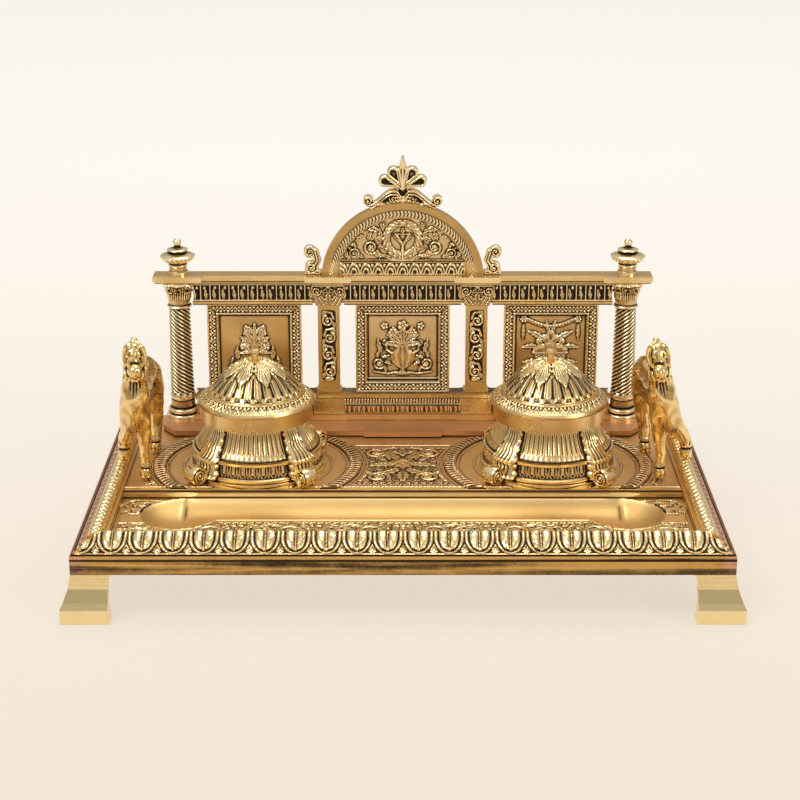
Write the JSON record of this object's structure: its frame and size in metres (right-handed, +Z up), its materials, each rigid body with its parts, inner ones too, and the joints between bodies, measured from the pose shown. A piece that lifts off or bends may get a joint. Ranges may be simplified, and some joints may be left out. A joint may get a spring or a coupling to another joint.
{
  "type": "desk inkstand",
  "caption": "Footed brass desk inkstand: pen trough, two hinged-lid inkwells, a pair of standing goats and a columned gallery with an arched pediment.",
  "frame": {"origin": "on the table, under the middle of the tray", "axes": "+X along the width to the right as seen from the pen trough, +Y towards the gallery, +Z up"},
  "size_m": [0.315, 0.198, 0.1792],
  "materials": {
    "antique_brass": "cast and hand-finished, bright on the relief, dark patina in the recesses",
    "polished_brass": "polished, lightly brushed",
    "steel": "plain",
    "pot_glass": "clear pressed glass"
  },
  "bodies": {
    "base": {"base_tray": "antique_brass", "foot_front_left": "antique_brass", "foot_front_right": "antique_brass", "foot_rear_left": "antique_brass", "foot_rear_right": "antique_brass", "foot_screws": "steel", "inkwell_left": "antique_brass", "inkwell_right": "antique_brass", "ink_pot_left": "pot_glass", "ink_pot_right": "pot_glass", "inkwell_screws": "steel", "hinge_pin_left": "steel", "hinge_pin_right": "steel", "gallery_rail": "antique_brass", "gallery_screws": "steel", "column_left": "antique_brass", "column_right": "antique_brass", "pilaster_left": "antique_brass", "pilaster_right": "antique_brass", "panel_left": "antique_brass", "panel_centre": "antique_brass", "panel_right": "antique_brass", "entablature": "antique_brass", "cornice": "antique_brass", "pediment": "antique_brass", "crest": "antique_brass", "side_scroll_left": "antique_brass", "side_scroll_right": "antique_brass", "finial_left": "antique_brass", "finial_right": "antique_brass", "goat_left": "polished_brass", "goat_right": "polished_brass", "goat_screws": "steel"},
    "lid_left_body": {"lid_left": "polished_brass", "lid_knob_left": "polished_brass"},
    "lid_right_body": {"lid_right": "polished_brass", "lid_knob_right": "polished_brass"}
  },
  "joints": [
    {"name": "lid_left_hinge", "type": "hinge", "parent": "base", "child": "lid_left_body", "pos_m": [-0.0741, 0.0532, 0.0606], "axis": [-1, 0, 0], "range_deg": [0, 68]},
    {"name": "lid_right_hinge", "type": "hinge", "parent": "base", "child": "lid_right_body", "pos_m": [0.0741, 0.0532, 0.0606], "axis": [-1, 0, 0], "range_deg": [0, 68]}
  ]
}
